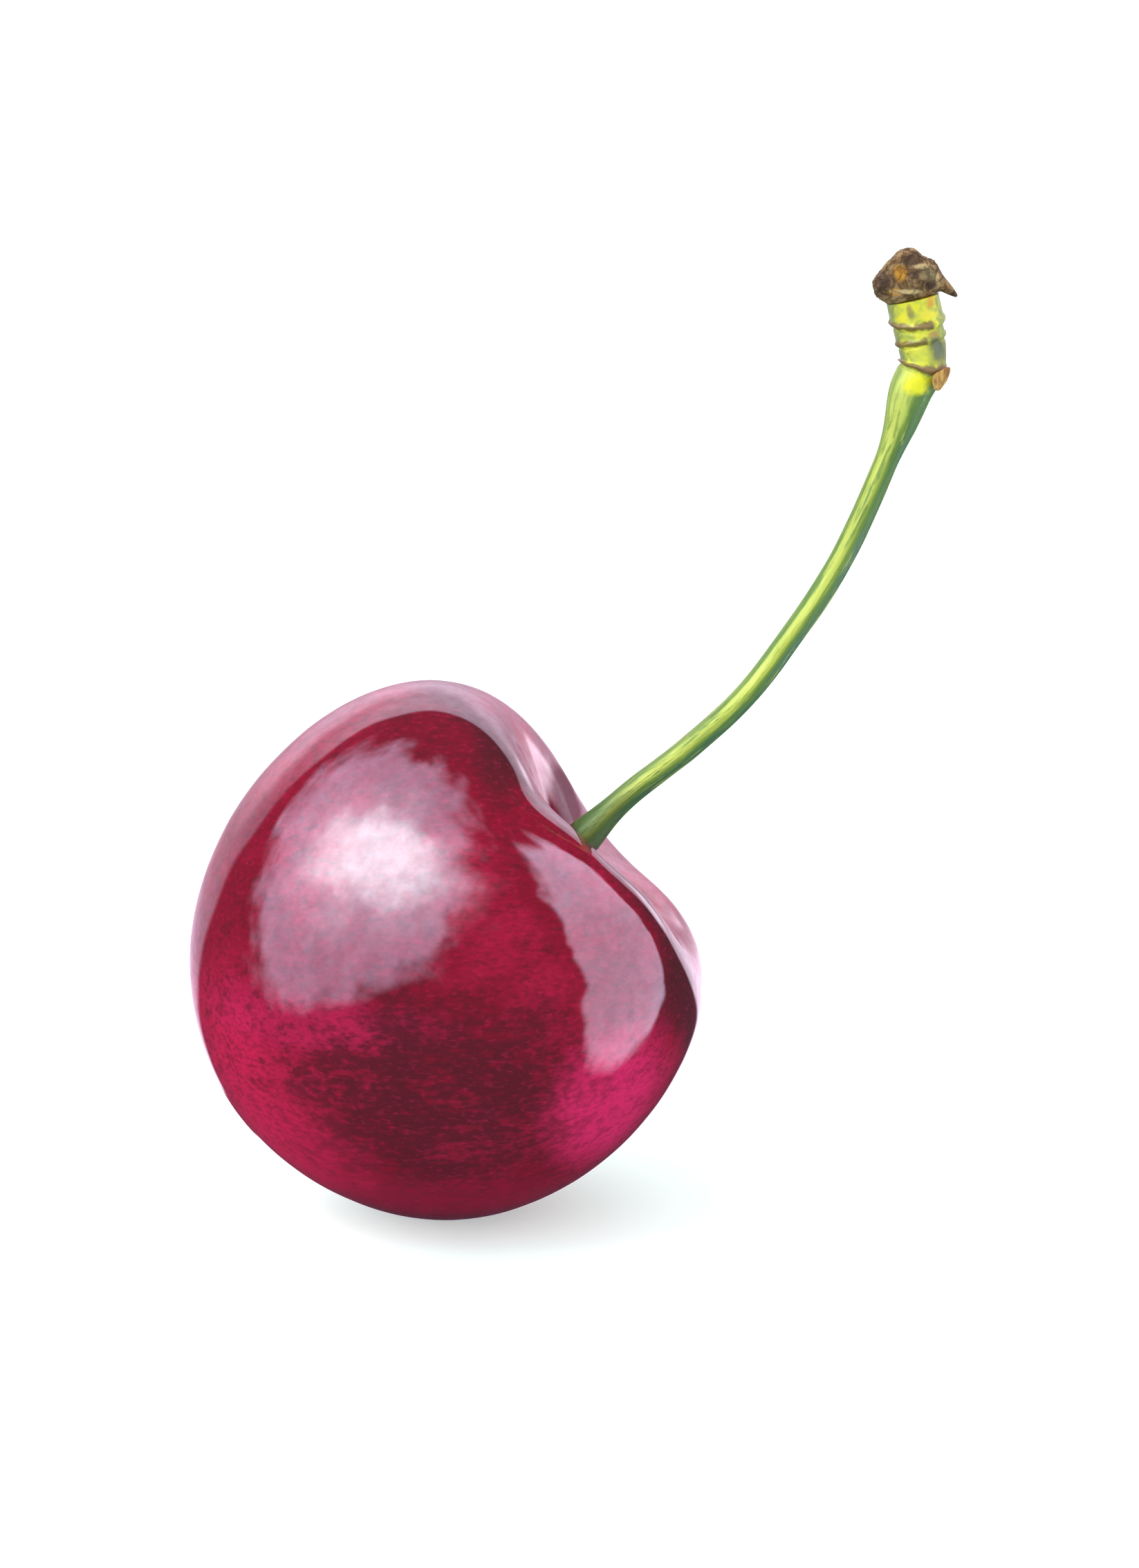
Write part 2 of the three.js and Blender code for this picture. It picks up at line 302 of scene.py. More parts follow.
def make_spur_cap(material):
    lumps = [(Vector(towards).normalized(), height, width) for towards, height, width in CAP_LUMPS]
    bm = bmesh.new()
    bmesh.ops.create_icosphere(bm, subdivisions=7, radius=1.0)
    turn = Matrix.Rotation(CAP_TILT, 3, 'Y')
    for vert in bm.verts:
        way = vert.co.normalized()
        swell = 1.0
        for towards, height, width in lumps:
            swell += height / CAP_HALVES[0] * hill(way.angle(towards), width)
        swell += CAP_WAVES * noise.noise(way * 2.4 + Vector((1.0, 0, 0)))
        ridges = noise.ridged_multi_fractal(way * 2.2 + Vector((0, 3.0, 0)), 0.9, 2.1, 4, 1.0, 2.0)
        swell += CAP_RIDGES * (ridges - 1.0)
        swell += CAP_GRAIN * noise.noise(way * 14.0)
        point = Vector(w * swell * half for w, half in zip(way, CAP_HALVES))
        point.z = max(point.z, -CAP_UNDERSIDE)
        point.z -= CAP_DROOP * max(0.0, point.x - CAP_DROOP_FROM)
        vert.co = turn @ point + CAP_CENTRE
    return finish_piece("cherry_spur_cap", bm, material, "spur_cap")


def make_bract(material):
    bm = bmesh.new()
    bmesh.ops.create_icosphere(bm, subdivisions=5, radius=1.0)
    turn = Matrix.Rotation(BRACT_TILT, 3, 'Y') @ Matrix.Rotation(BRACT_SPIN, 3, 'Z')
    for vert in bm.verts:
        way = vert.co.normalized()
        taper = 1 - BRACT_TAPER * max(0.0, way.z)
        across = way.y * BRACT_HALF_WIDTH * taper
        bent = BRACT_BEND * (across / BRACT_HALF_WIDTH) ** 2
        vein = BRACT_VEIN_DEPTH * math.cos(across * BRACT_VEIN_COUNT) * (1 - way.z * way.z)
        point = Vector((way.x * (BRACT_HALF_THICKNESS + vein) - bent, across,
                        way.z * BRACT_HALF_LENGTH))
        vert.co = turn @ point + BRACT_CENTRE
    return finish_piece("cherry_bract", bm, material, "bract")


# ---------------------------------------------------------------------------
# Shader tools
# ---------------------------------------------------------------------------

def add(tree, kind, links=None, **settings):
    """Adds a node, sets it up, and fills its inputs with values or links."""
    node = tree.nodes.new(kind)
    for name, value in settings.items():
        setattr(node, name, value)
    for name, value in (links or {}).items():
        socket = node.inputs[name]
        if isinstance(value, bpy.types.NodeSocket):
            tree.links.new(value, socket)
        else:
            socket.default_value = value
    return node


def maths(tree, operation, *values):
    links = dict(enumerate(values))
    return add(tree, "ShaderNodeMath", links, operation=operation).outputs[0]


def vector_maths(tree, operation, *values):
    links = dict(enumerate(values))
    node = add(tree, "ShaderNodeVectorMath", links, operation=operation)
    scalar = operation in ('LENGTH', 'DISTANCE', 'DOT_PRODUCT')
    return node.outputs["Value" if scalar else "Vector"]


def scaled(tree, vector, amount):
    node = add(tree, "ShaderNodeVectorMath", {0: vector, "Scale": amount}, operation='SCALE')
    return node.outputs["Vector"]


def ramp(tree, value, low, high, to_low=0.0, to_high=1.0):
    """A smooth step from one value to another."""
    links = {"Value": value, "From Min": low, "From Max": high, "To Min": to_low, "To Max": to_high}
    return add(tree, "ShaderNodeMapRange", links, interpolation_type='SMOOTHSTEP').outputs["Result"]


def blend(tree, amount, first, second):
    """Colours mixed by an amount."""
    node = add(tree, "ShaderNodeMix", data_type='RGBA')
    for socket, value in zip((node.inputs[0], node.inputs[6], node.inputs[7]),
                             (amount, first, second)):
        if isinstance(value, bpy.types.NodeSocket):
            tree.links.new(value, socket)
        elif isinstance(value, tuple) and len(value) == 3:
            socket.default_value = (*value, 1.0)
        else:
            socket.default_value = value
    return node.outputs[2]


def speckle(tree, vector, scale, detail=3.0, roughness=0.55, distortion=0.0):
    """A cloudy noise value."""
    links = {"Vector": vector, "Scale": scale, "Detail": detail, "Roughness": roughness,
             "Distortion": distortion}
    return add(tree, "ShaderNodeTexNoise", links).outputs["Fac"]


def centred(tree, value, amount):
    """A noise value moved to lie about 0, then scaled."""
    return maths(tree, 'MULTIPLY', maths(tree, 'SUBTRACT', value, 0.5), amount)


def new_group(name, ins, outs):
    """An empty node group with named inputs and outputs."""
    group = bpy.data.node_groups.new(name, 'ShaderNodeTree')
    kinds = {'value': 'NodeSocketFloat', 'vector': 'NodeSocketVector', 'colour': 'NodeSocketColor'}
    for label, kind, default in ins:
        socket = group.interface.new_socket(label, in_out='INPUT', socket_type=kinds[kind])
        socket.default_value = default
    for label, kind in outs:
        group.interface.new_socket(label, in_out='OUTPUT', socket_type=kinds[kind])
    given = group.nodes.new("NodeGroupInput").outputs
    put = group.nodes.new("NodeGroupOutput").inputs
    return group, given, put


def spot_group():
    """A mask that is 1 in a soft-edged ellipsoid patch, with an edge that wanders."""
    tree, given, put = new_group("soft_patch", [
        ("Vector", 'vector', (0, 0, 0)), ("Middle", 'vector', (0, 0, 0)),
        ("Halves", 'vector', (1, 1, 1)), ("Softness", 'value', 0.3),
        ("Wander", 'value', 0.3), ("Grain", 'value', 1.0)], [("Mask", 'value')])
    offset = vector_maths(tree, 'SUBTRACT', given["Vector"], given["Middle"])
    reach = vector_maths(tree, 'LENGTH', vector_maths(tree, 'DIVIDE', offset, given["Halves"]))
    rough = centred(tree, speckle(tree, given["Vector"], given["Grain"]), given["Wander"])
    reach = maths(tree, 'ADD', reach, rough)
    outer = maths(tree, 'ADD', 1.0, given["Softness"])
    inner = maths(tree, 'SUBTRACT', 1.0, given["Softness"])
    tree.links.new(ramp(tree, reach, outer, inner), put["Mask"])
    return tree


SOFT_PATCH = spot_group()


def patch(tree, vector, middle, halves, softness=0.3, wander=0.3, grain=1.0):
    links = {"Vector": vector, "Middle": middle, "Halves": halves, "Softness": softness,
             "Wander": wander, "Grain": grain}
    return add(tree, "ShaderNodeGroup", links, node_tree=SOFT_PATCH).outputs["Mask"]


def paint_patches(tree, vector, colour, patches, softness, wander, grain):
    """Lays tints over a colour. Each patch is its middle, half sizes, tint and amount."""
    for middle, halves, tint, amount in patches:
        mask = patch(tree, vector, middle, halves, softness, wander, grain)
        colour = blend(tree, maths(tree, 'MULTIPLY', mask, amount), colour, tint)
    return colour


def new_material(name):
    material = bpy.data.materials.new(name)
    material.use_nodes = True
    tree = material.node_tree
    tree.nodes.clear()
    shader = tree.nodes.new("ShaderNodeBsdfPrincipled")
    output = tree.nodes.new("ShaderNodeOutputMaterial")
    tree.links.new(shader.outputs["BSDF"], output.inputs["Surface"])
    return material, tree, shader


def bump(tree, height, distance, after=None):
    links = {"Height": height, "Distance": distance}
    if after is not None:
        links["Normal"] = after
    return add(tree, "ShaderNodeBump", links).outputs["Normal"]


def object_mm(tree, centre, turn=(0.0, 0.0, 0.0)):
    """Object coordinates in millimetres, measured from a centre along turned axes."""
    place = add(tree, "ShaderNodeTexCoord").outputs["Object"]
    links = {"Vector": place, "Location": centre * MM, "Rotation": turn, "Scale": (MM, MM, MM)}
    return add(tree, "ShaderNodeMapping", links, vector_type='TEXTURE').outputs["Vector"]


# ---------------------------------------------------------------------------
# Materials
# ---------------------------------------------------------------------------

def crimson_skin():
    """Dull crimson under a clear coat that gives the shine, with washes and a dark mottle; some washes
    are painted reflected light and painted shade.
    """
    material, tree, shader = new_material("crimson_skin")
    place = object_mm(tree, FRUIT_CENTRE)
    own = object_mm(tree, FRUIT_CENTRE, FRUIT_STANCE.to_euler())

    crimson = (0.27, 0.009, 0.030)
    bright = (0.74, 0.020, 0.100)
    magenta = (0.80, 0.028, 0.155)
    maroon = (0.120, 0.013, 0.024)
    deep = (0.075, 0.016, 0.022)
    dimple_shade = (0.10, 0.008, 0.03)
    dimple_shade_middle, dimple_shade_halves = (5.9, 2.2, 7.9), (1.5, 2.8, 1.9)

    # Ripeness: broad washes of lighter and darker crimson, then patches, some of which are painted
    # reflected light and painted shade.
    broad = speckle(tree, place, 0.22, 3.0, 0.55)
    colour = blend(tree, ramp(tree, broad, 0.45, 0.68, 0.0, 0.3), crimson, bright)
    colour = paint_patches(tree, place, colour, (
        # Painted reflected light, low on the left and low on the right.
        ((-11.0, -4.5, -6.8), (5.0, 8.0, 7.0), bright, 0.8),
        ((7.8, -7.5, -5.6), (3.0, 4.8, 4.0), magenta, 0.95),
        ((-6.5, -8.5, -1.0), (6.5, 5.0, 1.4), magenta, 0.4),
        ((-0.5, -5.0, 12.6), (6.5, 5.5, 2.3), maroon, 0.38),
        # Painted shade: dark streaks by the near rim and along the right edge.
        ((2.2, -4.5, 11.2), (1.1, 4.0, 2.4), deep, 0.7),
        ((11.4, -5.5, 0.2), (1.3, 3.5, 2.4), deep, 0.85),
        # Painted shade on the far wall of the dimple, by the stalk.
        (dimple_shade_middle, dimple_shade_halves, dimple_shade, 0.85),
    ), 0.55, 0.7, 0.3)

    # Painted shade: a dark ring round the rim of the dimple.
    ring_half_length, ring_half_width = 11.3, 7.1
    flat = vector_maths(tree, 'MULTIPLY', own, (1 / ring_half_length, 1 / ring_half_width, 0.0))
    reach = vector_maths(tree, 'LENGTH', vector_maths(tree, 'ADD', flat, (0.05, 0.0, 0.0)))
    ragged = centred(tree, speckle(tree, place, 0.8, 3.0), 0.16)
    away = maths(tree, 'ABSOLUTE', maths(tree, 'SUBTRACT', maths(tree, 'ADD', reach, ragged), 1.0))
    height = add(tree, "ShaderNodeSeparateXYZ", {0: own}).outputs["Z"]
    ring = maths(tree, 'MULTIPLY', ramp(tree, away, 0.17, 0.02), ramp(tree, height, 5.0, 7.5))
    colour = blend(tree, maths(tree, 'MULTIPLY', ring, 0.9), colour, deep)

    # Mottle: soft dark blots, thickest low on the front, with fine grain all over.
    stretch = add(tree, "ShaderNodeMapping", {"Vector": place, "Scale": (0.6, 1.0, 1.3)}).outputs[0]
    blots = speckle(tree, stretch, 2.3, 4.0, 0.62)
    clumps = speckle(tree, stretch, 0.75, 3.0, 0.6)
    fine = speckle(tree, stretch, 4.0, 3.0, 0.6)
    dense = patch(tree, place, (-0.6, -10.0, -5.0), (6.7, 7.5, 5.3), 0.6, 0.7, 0.4)
    lift = maths(tree, 'MULTIPLY', dense, 0.12)
    blots = maths(tree, 'MULTIPLY', blots, 0.6)
    clumps = maths(tree, 'MULTIPLY', clumps, 0.4)
    mottle = maths(tree, 'ADD', maths(tree, 'ADD', blots, clumps), lift)
    spots = ramp(tree, mottle, 0.47, 0.64)
    strength = ramp(tree, dense, 0.0, 1.0, 0.6, 0.9)
    colour = blend(tree, maths(tree, 'MULTIPLY', spots, strength), colour, maroon)
    # Painted shade: a darker wash low on the front.
    colour = blend(tree, maths(tree, 'MULTIPLY', dense, 0.24), colour, deep)
    colour = blend(tree, ramp(tree, fine, 0.48, 0.68, 0.0, 0.40), colour, maroon)
    colour = blend(tree, ramp(tree, fine, 0.46, 0.30, 0.0, 0.16), colour, magenta)

    # Painted reflected light: thin bright washes over the mottle, low on the right, along the bottom
    # and low on the left.
    colour = paint_patches(tree, place, colour, (
        ((7.8, -7.5, -5.8), (2.6, 4.5, 3.4), magenta, 0.32),
        ((-1.5, -6.0, -11.5), (8.0, 6.0, 1.8), bright, 0.22),
        ((-8.0, -6.0, -8.5), (3.5, 6.0, 3.0), bright, 0.25),
    ), 0.6, 0.9, 0.5)

    tree.links.new(colour, shader.inputs["Base Color"])
    shader.inputs["Roughness"].default_value = 0.5
    shader.inputs["Specular IOR Level"].default_value = 0.0
    shader.inputs["Coat Roughness"].default_value = 0.055
    shader.inputs["Coat IOR"].default_value = 1.5

    # The gloss is a little cloudy, and duller on the painted shade in the dimple.
    clouds = speckle(tree, place, 1.3, 5.0, 0.7)
    cloudy_gloss = ramp(tree, clouds, 0.3, 0.7, 0.78, 1.0)
    dimple_shade_mask = patch(tree, place, dimple_shade_middle, dimple_shade_halves, 0.4, 0.4, 0.6)
    dimple_shade_gloss = ramp(tree, dimple_shade_mask, 0.0, 1.0, 1.0, 0.25)
    gloss = maths(tree, 'MULTIPLY', cloudy_gloss, dimple_shade_gloss)
    tree.links.new(gloss, shader.inputs["Coat Weight"])
    pores = speckle(tree, place, 3.4, 3.0, 0.6)
    tree.links.new(bump(tree, pores, 0.006 * MM), shader.inputs["Normal"])
    return material


def green_bark():
    """Green bark, laid out by each point's place right, in front of and along the middle line."""
    material, tree, shader = new_material("green_bark")
    straight = add(tree, "ShaderNodeAttribute", attribute_name="straight").outputs["Vector"]
    parts = add(tree, "ShaderNodeSeparateXYZ", {0: straight}).outputs
    right, front, along = parts["X"], parts["Y"], parts["Z"]

    lime = (0.33, 0.42, 0.045)
    pale = (0.58, 0.66, 0.10)
    green = (0.12, 0.24, 0.030)
    teal = (0.035, 0.130, 0.055)
    brown = (0.085, 0.040, 0.014)
    tan = (0.165, 0.095, 0.028)
    pale_lime = (0.72, 0.86, 0.20)
    streak_green = (0.085, 0.18, 0.025)
    foot_green = (0.045, 0.115, 0.022)
    foot_brown = (0.06, 0.022, 0.02)
    lemon, soft_lime = (0.80, 0.78, 0.045), (0.44, 0.52, 0.08)
    grey_green = (0.20, 0.27, 0.115)
    bright_lemon = (0.95, 0.90, 0.02)
    blue_green = (0.045, 0.080, 0.038)
    yolk = (0.92, 0.82, 0.03)
    soft_yolk = (0.92, 0.80, 0.05)
    pale_lemon = (0.90, 0.86, 0.08)
    rust = (0.40, 0.24, 0.06)
    amber = (0.62, 0.30, 0.03)
    dark_olive = (0.24, 0.17, 0.06)
    lime_yellow = (0.80, 0.82, 0.10)

    # The stalk's rough radius along its length, which the crosswise values are divided by.
    stem_girth, knuckle_girth = 0.6, 1.15
    swelling = ramp(tree, along, KNUCKLE_FROM, KNUCKLE_TO, stem_girth, knuckle_girth)
    crown = ramp(tree, along, CROWN_FROM, CROWN_TO, 0.0, CROWN_SWELL)
    girth = maths(tree, 'ADD', swelling, crown)

    # Lime on the upper left side, through green, to teal on the lower right: partly the stalk's own
    # colour, partly painted light on the upper left and painted shade on the lower right.
    upper_from, upper_to = 24.0, 31.0
    long = add(tree, "ShaderNodeMapping", {"Vector": straight, "Scale": (3.4, 3.4, 0.2)}).outputs[0]
    stripes = speckle(tree, long, 1.3, 5.0, 0.7, 0.4)
    wide = speckle(tree, long, 0.4, 2.0, 0.5)
    turn = maths(tree, 'DIVIDE', right, girth)
    turn = maths(tree, 'ADD', turn, centred(tree, wide, 0.6))
    turn = maths(tree, 'ADD', turn, ramp(tree, along, 6.0, 12.0, -0.05, 0.10))
    lit = blend(tree, ramp(tree, along, upper_from, upper_to), lime, pale_lime)
    colour = blend(tree, ramp(tree, turn, -0.15, 0.35), lit, green)
    shade_strength = ramp(tree, along, upper_from, upper_to, 1.0, 0.45)
    shade = maths(tree, 'MULTIPLY', ramp(tree, turn, 0.25, 0.6), shade_strength)
    colour = blend(tree, shade, colour, teal)
    # Painted light: a pale band along the upper left side.
    lit_band = maths(tree, 'ABSOLUTE', maths(tree, 'ADD', turn, 0.3))
    colour = blend(tree, ramp(tree, lit_band, 0.55, 0.05, 0.0, 0.7), colour, pale)
    colour = blend(tree, ramp(tree, turn, -0.62, -0.95, 0.0, 0.85), colour, green)
    streak_strength = ramp(tree, along, upper_from, upper_to, 0.95, 0.3)
    streaks = maths(tree, 'MULTIPLY', ramp(tree, stripes, 0.48, 0.60), streak_strength)
    colour = blend(tree, streaks, colour, streak_green)
    colour = blend(tree, ramp(tree, stripes, 0.44, 0.34, 0.0, 0.6), colour, pale)

    # Dark green towards the foot, and brown where it enters the dimple.
    foot = ramp(tree, along, 6.0, 1.5)
    colour = blend(tree, maths(tree, 'MULTIPLY', foot, 0.78), colour, foot_green)
    contact = ramp(tree, along, 1.15, 0.8)
    colour = blend(tree, maths(tree, 'MULTIPLY', contact, 0.8), colour, foot_brown)

    # The knuckle: lemon and lime, grey-green at its sides.
    top = STALK_LENGTH
    mottle = speckle(tree, straight, 1.7, 4.0, 0.6, 0.5)
    knuckle = blend(tree, ramp(tree, mottle, 0.40, 0.62), lemon, soft_lime)
    side = maths(tree, 'ABSOLUTE', maths(tree, 'DIVIDE', right, girth))
    side = maths(tree, 'ADD', side, centred(tree, mottle, 0.5))
    knuckle = blend(tree, ramp(tree, side, 0.62, 0.98, 0.0, 0.8), knuckle, grey_green)
    colour = blend(tree, ramp(tree, along, top - 4.1, top - 3.3), colour, knuckle)
    colour = paint_patches(tree, straight, colour, (
        ((0.0, 0.95, top - 4.15), (0.62, 1.0, 0.52), bright_lemon, 0.95),
        ((0.66, 0.9, top - 2.35), (0.50, 0.9, 0.66), blue_green, 0.92),
        ((-0.75, 1.0, top - 0.55), (0.40, 0.8, 0.20), yolk, 0.9),
        ((0.45, 1.1, top - 0.62), (0.40, 0.6, 0.22), soft_yolk, 0.8),
        ((0.1, 1.2, top - 1.55), (0.55, 0.6, 0.20), pale_lemon, 0.7),
        ((0.62, 1.0, top - 1.65), (0.28, 0.6, 0.16), rust, 0.8),
        ((0.75, 0.9, top - 0.05), (0.22, 0.6, 0.30), amber, 0.85),
        ((-0.35, 1.2, top - 0.35), (0.16, 0.6, 0.40), dark_olive, 0.7),
        ((-0.2, 1.2, top - 2.6), (0.60, 0.6, 0.50), lime_yellow, 0.6),
    ), 0.45, 1.1, 1.9)

    # Brown corky bands at the ring scars. The second and third stop on the right and darken there.
    jag = centred(tree, speckle(tree, straight, 1.9, 4.0), 0.55)
    forward = maths(tree, 'MAXIMUM', maths(tree, 'DIVIDE', front, girth), 0.0)
    sideways = maths(tree, 'DIVIDE', right, girth)
    depth = maths(tree, 'SUBTRACT', top, maths(tree, 'ADD', along, jag))
    reaches, strengths = (3.0, 0.3, 0.75), (0.95, 0.85, 0.9)
    for (below, sag, lean, half, _), reach, strength in zip(RING_SCARS, reaches, strengths):
        level = maths(tree, 'SUBTRACT', depth, maths(tree, 'MULTIPLY', forward, sag))
        level = maths(tree, 'SUBTRACT', level, maths(tree, 'MULTIPLY', sideways, lean))
        away = maths(tree, 'ABSOLUTE', maths(tree, 'SUBTRACT', level, below))
        band = ramp(tree, away, half * 1.9, half * 0.8, 0.0, strength)
        band = maths(tree, 'MULTIPLY', band, ramp(tree, right, reach + 0.1, reach - 0.15))
        tint = blend(tree, ramp(tree, right, reach - 0.9, reach), tan, brown)
        colour = blend(tree, band, colour, tint)

    tree.links.new(colour, shader.inputs["Base Color"])
    shader.inputs["Specular IOR Level"].default_value = 0.4
    tree.links.new(ramp(tree, stripes, 0.3, 0.7, 0.38, 0.6), shader.inputs["Roughness"])
    normal = bump(tree, stripes, 0.03 * MM)
    grain = speckle(tree, straight, 9.0, 2.0)
    tree.links.new(bump(tree, grain, 0.012 * MM, after=normal), shader.inputs["Normal"])
    return material


def brown_wood():
    """Rough brown bark with pale, orange and dark patches."""
    material, tree, shader = new_material("brown_wood")
    place = object_mm(tree, CAP_CENTRE)
    umber = (0.15, 0.082, 0.034)
    taupe = (0.42, 0.27, 0.125)
    ink = (0.036, 0.019, 0.012)
    cream = (0.86, 0.64, 0.32)
    orange = (0.72, 0.34, 0.045)
    olive = (0.27, 0.22, 0.11)
    flakes = speckle(tree, place, 1.5, 5.0, 0.65, 0.9)
    colour = blend(tree, ramp(tree, flakes, 0.38, 0.60), umber, taupe)
    stains = speckle(tree, place, 0.8, 4.0, 0.6, 0.6)
    colour = blend(tree, ramp(tree, stains, 0.54, 0.68, 0.0, 0.45), colour, ink)
    colour = paint_patches(tree, place, colour, (
        ((-1.25, -0.7, -0.06), (0.55, 0.9, 0.62), ink, 0.85),
        ((0.10, -1.0, 1.10), (0.46, 0.6, 0.40), ink, 0.8),
        ((-0.50, -1.2, 0.50), (0.30, 0.6, 0.34), orange, 0.85),
        ((-0.72, -1.2, -0.42), (0.30, 0.6, 0.20), orange, 0.7),
        ((-0.15, -1.4, -0.40), (0.75, 0.6, 0.12), cream, 0.8),
        ((0.62, -1.1, 0.86), (0.48, 0.6, 0.10), cream, 0.75),
        ((0.95, -1.1, 0.42), (0.42, 0.7, 0.36), olive, 0.8),
        ((1.42, -0.9, 0.10), (0.10, 0.7, 0.42), cream, 0.7),
        ((1.02, -1.1, -0.12), (0.36, 0.6, 0.24), ink, 0.9),
        ((0.22, -1.4, 0.40), (0.24, 0.6, 0.26), ink, 0.85),
        ((2.30, -0.2, -0.80), (0.30, 0.8, 0.25), ink, 0.8),
        ((-1.0, -1.0, -0.85), (0.9, 0.8, 0.18), taupe, 0.7),
    ), 0.5, 1.7, 2.6)

    # Dark cracks between wandering plates of bark.
    clouds = add(tree, "ShaderNodeTexNoise", {"Vector": place, "Scale": 1.6}).outputs["Color"]
    wavering = scaled(tree, vector_maths(tree, 'SUBTRACT', clouds, (0.5, 0.5, 0.5)), 0.9)
    links = {"Vector": vector_maths(tree, 'ADD', place, wavering), "Scale": 1.25}
    plates = add(tree, "ShaderNodeTexVoronoi", links, feature='DISTANCE_TO_EDGE')
    edges = plates.outputs["Distance"]
    colour = blend(tree, ramp(tree, edges, 0.07, 0.0, 0.0, 0.5), colour, ink)
    tree.links.new(colour, shader.inputs["Base Color"])
    shader.inputs["Specular IOR Level"].default_value = 0.2
    tree.links.new(ramp(tree, flakes, 0.3, 0.7, 0.9, 0.65), shader.inputs["Roughness"])
    cracks = speckle(tree, place, 3.2, 5.0, 0.7)
    normal = bump(tree, cracks, 0.16 * MM)
    normal = bump(tree, ramp(tree, edges, 0.0, 0.12), 0.08 * MM, after=normal)
    tree.links.new(normal, shader.inputs["Normal"])
    return material


def dry_scale():
    """A dry tan scale with lengthwise fibres."""
    material, tree, shader = new_material("dry_scale")
    place = object_mm(tree, BRACT_CENTRE)
    straw = (0.68, 0.40, 0.12)
    chestnut = (0.27, 0.12, 0.035)
    fibres = add(tree, "ShaderNodeMapping", {"Vector": place, "Scale": (6.0, 6.0, 0.9)}).outputs[0]
    grain = speckle(tree, fibres, 1.0, 4.0, 0.6)
    colour = blend(tree, ramp(tree, grain, 0.38, 0.66), straw, chestnut)
    tree.links.new(colour, shader.inputs["Base Color"])
    shader.inputs["Roughness"].default_value = 0.75
    shader.inputs["Specular IOR Level"].default_value = 0.3
    tree.links.new(bump(tree, grain, 0.03 * MM), shader.inputs["Normal"])
    return material


# ---------------------------------------------------------------------------
# Studio
# ---------------------------------------------------------------------------

def direction(azimuth, elevation):
    """A unit vector. Azimuth 0 points to the front, -Y, and 90 to +X."""
    a, e = math.radians(azimuth), math.radians(elevation)
    return Vector((math.sin(a) * math.cos(e), -math.cos(a) * math.cos(e), math.sin(e)))


def panel_group():
    """A soft-edged light panel seen in a direction."""
    tree, given, put = new_group("studio_panel", [
        ("Direction", 'vector', (0, 0, 1)), ("Middle", 'vector', (0, 0, 1)),
        ("Across", 'vector', (1, 0, 0)), ("Upward", 'vector', (0, 1, 0)),
        ("Squareness", 'value', 2.0), ("Softness", 'value', 0.1)], [("Mask", 'value')])
    x = maths(tree, 'ABSOLUTE', vector_maths(tree, 'DOT_PRODUCT', given["Direction"], given["Across"]))
    y = maths(tree, 'ABSOLUTE', vector_maths(tree, 'DOT_PRODUCT', given["Direction"], given["Upward"]))
    power = given["Squareness"]
    total = maths(tree, 'ADD', maths(tree, 'POWER', x, power), maths(tree, 'POWER', y, power))
    reach = maths(tree, 'POWER', total, maths(tree, 'DIVIDE', 1.0, power))
    edge = ramp(tree, reach, maths(tree, 'ADD', 1.0, given["Softness"]),
                maths(tree, 'SUBTRACT', 1.0, given["Softness"]))
    facing = vector_maths(tree, 'DOT_PRODUCT', given["Direction"], given["Middle"])
    ahead = maths(tree, 'GREATER_THAN', facing, 0.0)
    tree.links.new(maths(tree, 'MULTIPLY', edge, ahead), put["Mask"])
    return tree


